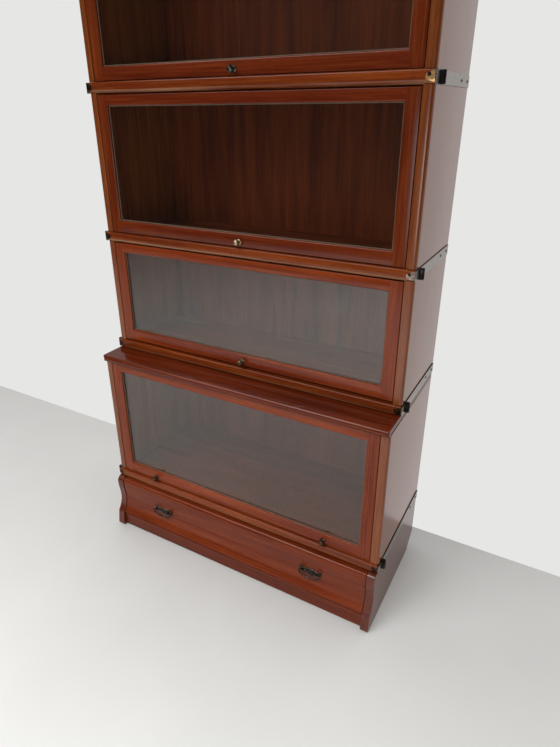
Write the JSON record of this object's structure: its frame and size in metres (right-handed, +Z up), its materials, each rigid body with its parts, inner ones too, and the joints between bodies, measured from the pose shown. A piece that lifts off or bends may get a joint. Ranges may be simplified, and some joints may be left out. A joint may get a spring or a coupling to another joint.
{
  "type": "barrister bookcase",
  "caption": "Stacking sectional bookcase with lift-up glazed doors, a stepped lower section, a serpentine drawer base and a cornice unit.",
  "frame": {"origin": "on the floor, at the middle of the overall width and of the overall depth", "axes": "+Z up, along the height; +Y to the wall behind, so the doors face -Y; +X to the right as seen from the front"},
  "size_m": [0.888, 0.388, 1.715],
  "materials": {
    "polished_mahogany": "french polished, glossy",
    "inside_mahogany": "thin polish, satin",
    "glass": "clear sheet",
    "band_steel": "worn, dark",
    "cap_brass": "worn plating",
    "screw_steel": "blackened",
    "aged_bronze": "dark patina"
  },
  "bodies": {
    "case": {"base_back_board": "inside_mahogany", "base_floor_board": "inside_mahogany", "base_plinth_rail": "polished_mahogany", "base_side_left": "polished_mahogany", "base_side_right": "polished_mahogany", "corner_caps": "cap_brass", "cornice_frame": "polished_mahogany", "cornice_joint_rail": "polished_mahogany", "cornice_top_board": "polished_mahogany", "drawer_runners": "inside_mahogany", "fitting_screws": "screw_steel", "joint_bands": "band_steel", "section_1_back_boards": "inside_mahogany", "section_1_joint_rail": "polished_mahogany", "section_1_ledge_board": "polished_mahogany", "section_1_shelf_board": "inside_mahogany", "section_1_side_left": "polished_mahogany", "section_1_side_right": "polished_mahogany", "section_2_back_boards": "inside_mahogany", "section_2_joint_rail": "polished_mahogany", "section_2_shelf_board": "inside_mahogany", "section_2_side_left": "polished_mahogany", "section_2_side_right": "polished_mahogany", "section_3_back_boards": "inside_mahogany", "section_3_joint_rail": "polished_mahogany", "section_3_shelf_board": "inside_mahogany", "section_3_side_left": "polished_mahogany", "section_3_side_right": "polished_mahogany", "section_4_back_boards": "inside_mahogany", "section_4_joint_rail": "polished_mahogany", "section_4_shelf_board": "inside_mahogany", "section_4_side_left": "polished_mahogany", "section_4_side_right": "polished_mahogany"},
    "drawer": {"drawer_back": "inside_mahogany", "drawer_bottom": "inside_mahogany", "drawer_front": "polished_mahogany", "drawer_handle_plates": "aged_bronze", "drawer_sides": "inside_mahogany"},
    "bail_left": {"bail_handle_left": "aged_bronze"},
    "bail_right": {"bail_handle_right": "aged_bronze"},
    "door_1_runners": {"door_1_runner_shoes": "screw_steel"},
    "door_1": {"door_1_frame": "polished_mahogany", "door_1_glass": "glass", "door_1_glazing_beads": "polished_mahogany", "door_1_knobs": "aged_bronze"},
    "door_2_runners": {"door_2_runner_shoes": "screw_steel"},
    "door_2": {"door_2_frame": "polished_mahogany", "door_2_glass": "glass", "door_2_glazing_beads": "polished_mahogany", "door_2_knob": "aged_bronze"},
    "door_3_runners": {"door_3_runner_shoes": "screw_steel"},
    "door_3": {"door_3_frame": "polished_mahogany", "door_3_glass": "glass", "door_3_glazing_beads": "polished_mahogany", "door_3_knob": "aged_bronze"},
    "door_4_runners": {"door_4_runner_shoes": "screw_steel"},
    "door_4": {"door_4_frame": "polished_mahogany", "door_4_glass": "glass", "door_4_glazing_beads": "polished_mahogany", "door_4_knob": "aged_bronze"}
  },
  "joints": [
    {"name": "door_1_slide", "type": "slide", "parent": "case", "child": "door_1_runners", "axis": [0, 1, 0], "range_m": [0, 0.303]},
    {"name": "door_1_lift", "type": "hinge", "parent": "door_1_runners", "child": "door_1", "pos_m": [0, -0.144, 0.5644], "axis": [-1, 0, 0], "range_deg": [0, 90]},
    {"name": "door_2_slide", "type": "slide", "parent": "case", "child": "door_2_runners", "axis": [0, 1, 0], "range_m": [0, 0.233]},
    {"name": "door_2_lift", "type": "hinge", "parent": "door_2_runners", "child": "door_2", "pos_m": [0, -0.074, 0.9024], "axis": [-1, 0, 0], "range_deg": [0, 90]},
    {"name": "door_3_slide", "type": "slide", "parent": "case", "child": "door_3_runners", "axis": [0, 1, 0], "range_m": [0, 0.233]},
    {"name": "door_3_lift", "type": "hinge", "parent": "door_3_runners", "child": "door_3", "pos_m": [0, -0.074, 1.2714], "axis": [-1, 0, 0], "range_deg": [0, 90]},
    {"name": "door_4_slide", "type": "slide", "parent": "case", "child": "door_4_runners", "axis": [0, 1, 0], "range_m": [0, 0.233]},
    {"name": "door_4_lift", "type": "hinge", "parent": "door_4_runners", "child": "door_4", "pos_m": [0, -0.074, 1.6404], "axis": [-1, 0, 0], "range_deg": [0, 90]},
    {"name": "drawer_slide", "type": "slide", "parent": "case", "child": "drawer", "axis": [0, -1, 0], "range_m": [0, 0.24]},
    {"name": "bail_left_swing", "type": "hinge", "parent": "drawer", "child": "bail_left", "pos_m": [-0.253, -0.1785, 0.108], "axis": [-1, 0, 0], "range_deg": [0, 80]},
    {"name": "bail_right_swing", "type": "hinge", "parent": "drawer", "child": "bail_right", "pos_m": [0.253, -0.1785, 0.108], "axis": [-1, 0, 0], "range_deg": [0, 80]}
  ]
}
